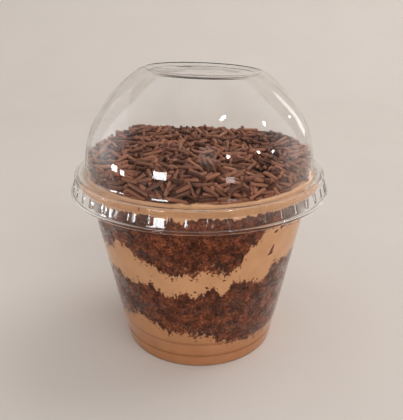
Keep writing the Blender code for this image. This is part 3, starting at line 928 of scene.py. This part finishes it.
def build_core(surface):
    """The heart of the heap, painted dark as the shade deep among the sprinkles, which shows only
    between them.
    """
    angles = np.arange(CORE_COLUMNS) * 360 / CORE_COLUMNS
    line = offset([tuple(point) for point in OUTLINE[::4]], -(SHELL - CORE_RISE))
    line = [(radius, max(z, HEAP_FOOT_Z)) for radius, z in line if radius > 2 * MM]
    rings = [np.array([(0, 0, HEAP_FOOT_Z)])]
    for radius, z in line:
        ring = around(angles, radius, z)
        lump = CORE_LUMP_HEIGHT * grain(ring, CORE_LUMP_SIZE, 5)
        rise = (lump + heap_rise(ring)) * (z > HEAP_FOOT_Z)
        rings.append(around(angles, radius + lump, z + rise))
    rings.append(np.array([(0, 0, rings[-1][:, 2].mean())]))
    loft("sprinkle_core", rings, surface, slot="sprinkles", replaces=["sprinkles"])


# Stage


def build_stage():
    """A floor that sweeps up into a backdrop behind the cup."""
    line = [(FLOOR_FRONT, 0), (0, 0), (SWEEP_START, 0)]
    line += arc((SWEEP_START, SWEEP_RADIUS), SWEEP_RADIUS, -90, 0, 24)[1:]
    line.append((SWEEP_START + SWEEP_RADIUS, SWEEP_HEIGHT))
    half = SWEEP_WIDTH / 2
    points = np.array([(side * half, y, z) for y, z in line for side in (-1, 1)])
    faces = [[2 * i, 2 * i + 1, 2 * i + 3, 2 * i + 2] for i in range(len(line) - 1)]
    add_mesh("backdrop", points, faces, backdrop_finish())


def toward(angle, height, distance):
    """The place this far off in a direction: degrees from the front, positive to the right, and
    degrees above the dome's middle."""
    rise = math.radians(height)
    turn = math.radians(angle)
    flat = distance * math.cos(rise)
    return (flat * math.sin(turn), -flat * math.cos(turn), LIGHTS_CENTRE_Z + distance * math.sin(rise))


def add_light(name, angle, height, distance, size, radiance, colour=(1, 1, 1), shape="RECTANGLE"):
    """A lamp that faces the cup. Its size is in degrees as the cup sees it, and its radiance is
    that of its face."""
    lamp = bpy.data.lights.new(name, "AREA")
    lamp.shape = shape
    lamp.size, lamp.size_y = (2 * distance * math.tan(math.radians(side / 2)) for side in size)
    area = lamp.size * lamp.size_y * (math.pi / 4 if shape == "ELLIPSE" else 1)
    lamp.energy = radiance * area * math.pi
    lamp.color = colour
    made = bpy.data.objects.new(name, lamp)
    bpy.context.scene.collection.objects.link(made)
    made.location = toward(angle, height, distance)
    centre = Vector((0, 0, LIGHTS_CENTRE_Z))
    made.rotation_euler = (centre - made.location).to_track_quat("-Z", "Y").to_euler()
    return made


def build_world():
    """A pale room, which the plastic mirrors as dark in front, as a room behind a camera is."""
    world = bpy.data.worlds.new("soft room")
    world.use_nodes = True
    bpy.context.scene.world = world
    tree = world.node_tree
    direction = tree.nodes.new("ShaderNodeTexCoord").outputs["Generated"]
    sides = tree.nodes.new("ShaderNodeSeparateXYZ")
    tree.links.new(direction, sides.inputs[0])
    brighter = tree.nodes.new("ShaderNodeMath")
    brighter.operation = "MAXIMUM"
    for index, (axis, start, end, bright) in enumerate(MIRRORED_ENDS):
        share = tree.nodes.new("ShaderNodeMapRange")
        share.interpolation_type = "SMOOTHSTEP"
        share.inputs["From Min"].default_value, share.inputs["From Max"].default_value = start, end
        share.inputs["To Min"].default_value = MIRRORED_DARK
        share.inputs["To Max"].default_value = bright
        tree.links.new(sides.outputs[axis], share.inputs["Value"])
        tree.links.new(share.outputs[0], brighter.inputs[index])
    strength = tree.nodes.new("ShaderNodeMix")
    strength.inputs["A"].default_value = ROOM
    tree.links.new(brighter.outputs[0], strength.inputs["B"])
    tree.links.new(mirrored(tree), strength.inputs["Factor"])
    back = tree.nodes["Background"]
    back.inputs["Color"].default_value = (1, 1, 1, 1)
    tree.links.new(strength.outputs["Result"], back.inputs["Strength"])


def build_lights():
    for name, angle, height, distance, size, radiance in SOFT_LIGHTS:
        made = add_light(name, angle, height, distance, size, radiance)
        made.visible_glossy = made.visible_transmission = False
    for index, (angle, height, width, tall, radiance) in enumerate(WINDOWS):
        size = (width, tall)
        name = f"window_{index}"
        made = add_light(name, angle, height, WINDOW_DISTANCE, size, radiance, WINDOW_COLOUR)
        made.visible_diffuse = False
    for index, (angle, height, *size) in enumerate(DOWNLIGHTS):
        name = f"downlight_{index}"
        made = add_light(name, angle, height, DOWNLIGHT_DISTANCE, size, DOWNLIGHT, shape="ELLIPSE")
        made.visible_diffuse = False


def build_camera():
    lens = bpy.data.cameras.new("camera")
    lens.lens = CAMERA_LENS
    lens.clip_start = 0.01
    made = bpy.data.objects.new("camera", lens)
    made.location = CAMERA_PLACE
    made.rotation_euler = (math.radians(CAMERA_PITCH), 0, 0)
    bpy.context.scene.collection.objects.link(made)
    bpy.context.scene.camera = made


def set_view():
    scene = bpy.context.scene
    scene.view_settings.view_transform = "Standard"
    scene.cycles.max_bounces = 24
    scene.cycles.transmission_bounces = 24
    scene.cycles.transparent_max_bounces = 32


build_camera()
set_view()
build_world()
build_lights()
build_stage()
build_cup(clear_plastic("clear cup plastic", 1.34, 0.001 * MM))
build_lid(clear_plastic("clear lid plastic", 1.42, 0.001 * MM))
build_layers(cream_finish(), cake_finish())
build_core(painted_shade_core_finish())
build_sprinkles(sprinkle_finish())
